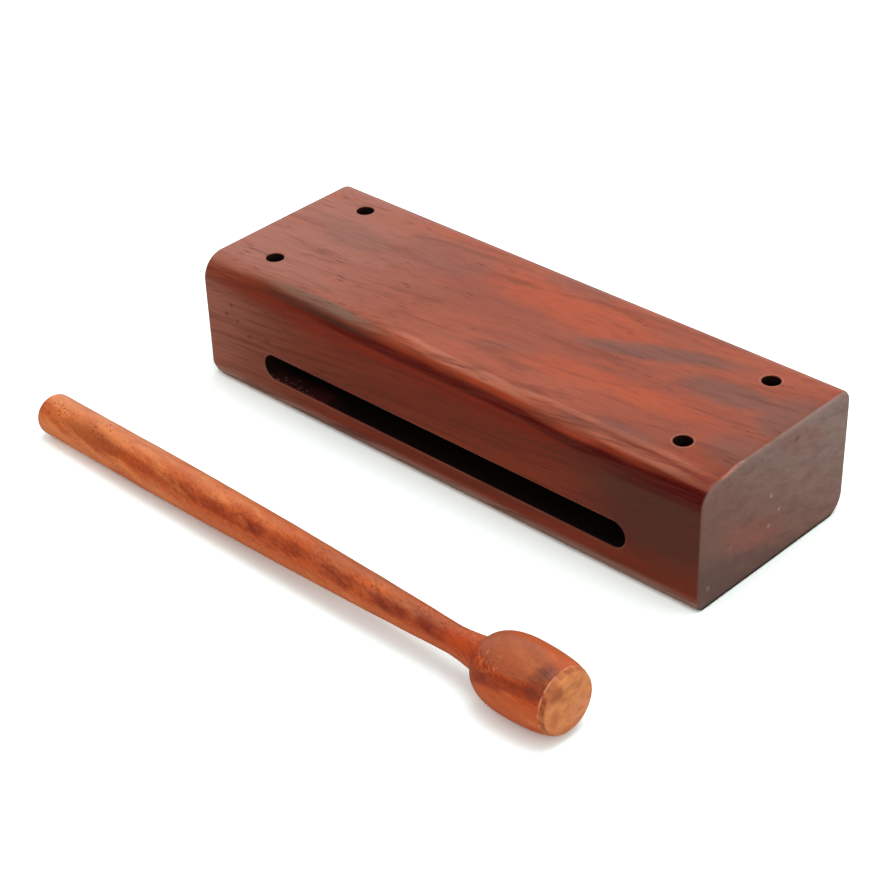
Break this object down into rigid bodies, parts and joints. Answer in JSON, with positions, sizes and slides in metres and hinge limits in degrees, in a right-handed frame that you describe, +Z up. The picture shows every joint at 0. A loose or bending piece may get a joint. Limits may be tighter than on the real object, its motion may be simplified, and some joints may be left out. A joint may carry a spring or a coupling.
{
  "type": "wood block with mallet",
  "caption": "Long hardwood block, hollowed by a slot in one long side and drilled near its corners for cords, with a turned hardwood mallet.",
  "frame": {"origin": "middle of the block's flat bottom face, on the surface that the block stands on", "axes": "+X along the block's length, towards the mallet's head; +Y from the slotted side to the closed side; +Z up"},
  "size_m": [0.2231, 0.1424, 0.043],
  "materials": {
    "block_wood": "satin red-brown rosewood",
    "mallet_wood": "satin orange-brown hardwood"
  },
  "bodies": {
    "block": {"block_body": "block_wood"},
    "mallet": {"mallet": "mallet_wood"}
  },
  "joints": [
    {"name": "mallet_lift", "type": "slide", "parent": "block", "child": "mallet", "axis": [0, 0, 1], "range_m": [0, 0.12]}
  ]
}
